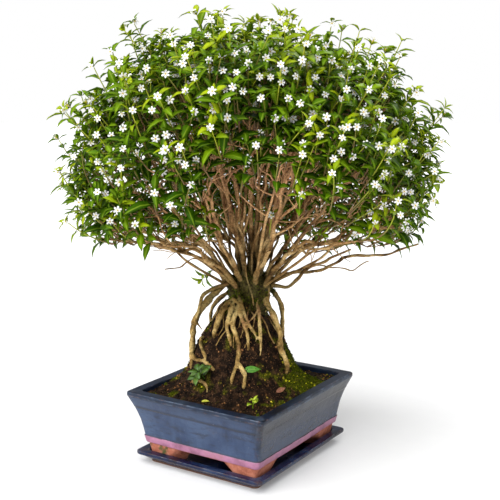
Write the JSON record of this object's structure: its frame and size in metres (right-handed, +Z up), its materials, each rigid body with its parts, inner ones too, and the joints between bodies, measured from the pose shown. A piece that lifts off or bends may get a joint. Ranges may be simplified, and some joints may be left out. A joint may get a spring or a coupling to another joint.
{
  "type": "serissa bonsai",
  "caption": "Flowering serissa bonsai with exposed roots and a domed leafy crown, in a glazed rectangular footed pot on its saucer.",
  "frame": {"origin": "middle of the flat underside of the saucer", "axes": "+Z up, the way the tree grows; +X along the pot's short side; +Y along its long side, away from the tree's front"},
  "size_m": [0.4564, 0.452, 0.5301],
  "materials": {
    "saucer_glaze": "gloss",
    "pot_glaze": "gloss",
    "mesh_plastic": "matte",
    "bark": "matte",
    "soil": "matte",
    "foliage": "satin",
    "young_foliage": "satin",
    "weed_leaf": "satin",
    "seedling_leaf": "satin",
    "fallen_green": "satin",
    "fallen_brown": "matte",
    "fallen_yellow": "matte"
  },
  "bodies": {
    "root": {"saucer": "saucer_glaze", "pot": "pot_glaze", "drain_mesh_1": "mesh_plastic", "drain_mesh_2": "mesh_plastic", "tree_wood": "bark", "soil": "soil", "leaf_spray_01": "foliage", "leaf_spray_02": "foliage", "leaf_spray_03": "foliage", "leaf_spray_04": "foliage", "leaf_spray_05": "foliage", "leaf_spray_06": "foliage", "leaf_spray_07": "foliage", "leaf_spray_08": "foliage", "leaf_spray_09": "foliage", "leaf_spray_10": "foliage", "leaf_spray_11": "foliage", "leaf_spray_12": "foliage", "leaf_spray_13": "foliage", "leaf_spray_14": "foliage", "leaf_spray_15": "foliage", "leaf_spray_16": "foliage", "leaf_spray_17": "foliage", "leaf_spray_18": "foliage", "leaf_spray_19": "foliage", "leaf_spray_20": "foliage", "leaf_shoot_low_1": "young_foliage", "leaf_shoot_low_2": "young_foliage", "leaf_shoot_low_3": "young_foliage", "leaf_shoot_low_4": "young_foliage", "weed": "weed_leaf", "seedling": "seedling_leaf", "fallen_leaf_green": "fallen_green", "fallen_leaf_brown": "fallen_brown", "fallen_leaf_yellow": "fallen_yellow"}
  },
  "joints": []
}
